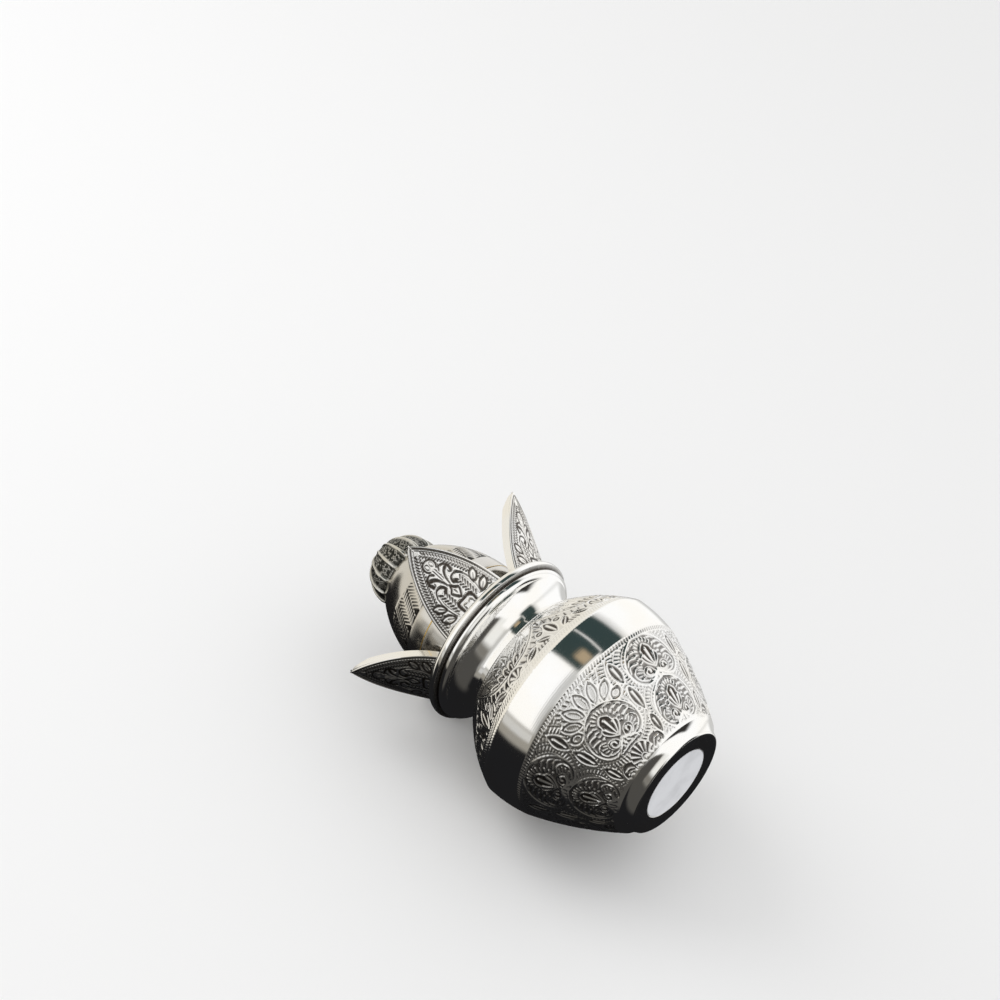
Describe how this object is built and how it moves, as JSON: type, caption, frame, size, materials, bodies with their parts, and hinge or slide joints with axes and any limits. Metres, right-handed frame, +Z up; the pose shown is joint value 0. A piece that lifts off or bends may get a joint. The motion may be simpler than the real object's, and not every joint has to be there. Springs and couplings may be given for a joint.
{
  "type": "kalash",
  "caption": "Round spun-metal ritual pot with a flared rolled mouth, a lift-out crown of pointed leaves and a lift-off hollow coconut with a fluted tuft.",
  "frame": {"origin": "centre of the foot, on the surface that the kalash stands on", "axes": "+Z up along the pot's axis, +Y towards the first leaf"},
  "size_m": [0.1124, 0.1129, 0.1849],
  "materials": {
    "pot_silver": "bright silver plate over brass, engraved and darkened in its cuts",
    "leaf_silver": "bright silver plate, engraved and darkened in its cuts",
    "coconut_silver": "silver plate, polished bands and a dense engraved band",
    "tuft_metal": "silver plate with bright ribs and dark stippled grooves",
    "inner_metal": "plain plated brass, satin",
    "label_paper": "blank matt paper label"
  },
  "bodies": {
    "pot": {"pot_bowl": "pot_silver", "pot_shoulder": "pot_silver", "pot_neck": "pot_silver", "base_label": "label_paper"},
    "crown": {"crown_collar": "inner_metal", "leaf_1": "leaf_silver", "leaf_2": "leaf_silver", "leaf_3": "leaf_silver", "leaf_4": "leaf_silver", "leaf_5": "leaf_silver", "leaf_rivet_1": "inner_metal", "leaf_rivet_2": "inner_metal", "leaf_rivet_3": "inner_metal", "leaf_rivet_4": "inner_metal", "leaf_rivet_5": "inner_metal"},
    "coconut": {"coconut_lower": "coconut_silver", "coconut_upper": "coconut_silver", "coconut_tuft": "tuft_metal"}
  },
  "joints": [
    {"name": "crown_lift", "type": "slide", "parent": "pot", "child": "crown", "axis": [0, 0, 1], "range_m": [0, 0.06]},
    {"name": "coconut_lift", "type": "slide", "parent": "crown", "child": "coconut", "axis": [0, 0, 1], "range_m": [0, 0.075]}
  ]
}
